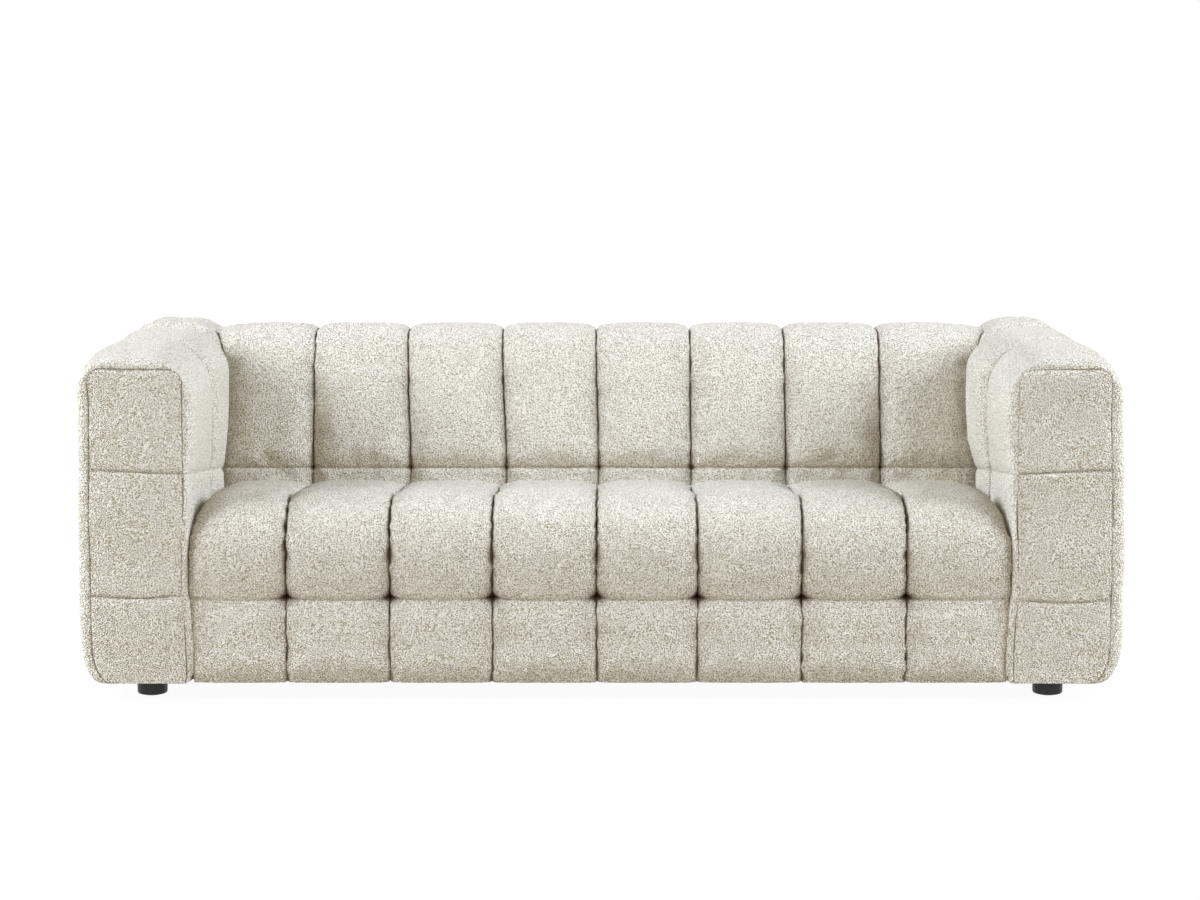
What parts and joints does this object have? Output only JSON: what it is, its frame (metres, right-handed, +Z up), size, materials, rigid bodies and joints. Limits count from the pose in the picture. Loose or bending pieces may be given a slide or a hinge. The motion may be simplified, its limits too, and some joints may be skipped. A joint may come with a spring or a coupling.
{
  "type": "tuxedo sofa",
  "caption": "Fixed-upholstery tuxedo sofa: arms and back of one height, channel-quilted seat and back with sewn tufts, short round legs.",
  "frame": {"origin": "on the floor under the middle of the sofa's bounding box", "axes": "+X to the right along the sofa's width as seen from the front, -Y the front that a sitter faces, +Z up"},
  "size_m": [2.2, 0.88, 0.748],
  "materials": {
    "boucle": "matte",
    "dust_cloth": "matte",
    "felt": "matte",
    "foam": "matte",
    "webbing": "matte",
    "steel": "satin",
    "leg_black": "satin",
    "glide": "matte",
    "hardboard": "matte",
    "plywood": "matte",
    "timber": "matte"
  },
  "bodies": {
    "root": {"seat_cover": "boucle", "back_cover": "boucle", "left_arm_cover": "boucle", "right_arm_cover": "boucle", "left_corner_cover": "boucle", "right_corner_cover": "boucle", "outside_back_cover": "boucle", "dust_cloth": "dust_cloth", "seat_foam": "foam", "back_foam": "foam", "left_arm_foam": "foam", "right_arm_foam": "foam", "felt_deck": "felt", "seat_springs": "steel", "spring_clips": "steel", "tie_wires": "steel", "back_webs": "webbing", "front_rail": "timber", "spring_rail": "timber", "rear_rail": "timber", "left_seat_side_rail": "timber", "right_seat_side_rail": "timber", "left_base_side_rail": "timber", "right_base_side_rail": "timber", "cross_rails": "timber", "left_arm_front_board": "plywood", "right_arm_front_board": "plywood", "left_arm_rear_board": "plywood", "right_arm_rear_board": "plywood", "left_arm_rails": "timber", "right_arm_rails": "timber", "left_arm_posts": "timber", "right_arm_posts": "timber", "left_arm_inner_panel": "hardboard", "right_arm_inner_panel": "hardboard", "left_arm_outer_panel": "hardboard", "right_arm_outer_panel": "hardboard", "back_posts": "plywood", "back_top_rail": "timber", "back_board": "hardboard", "corner_blocks": "timber", "frame_bolts": "steel", "frame_nuts": "steel", "leg_t_nuts": "steel", "leg_studs": "steel", "front_left_leg": "leg_black", "front_right_leg": "leg_black", "rear_left_leg": "leg_black", "rear_right_leg": "leg_black", "leg_glides": "glide"}
  },
  "joints": []
}
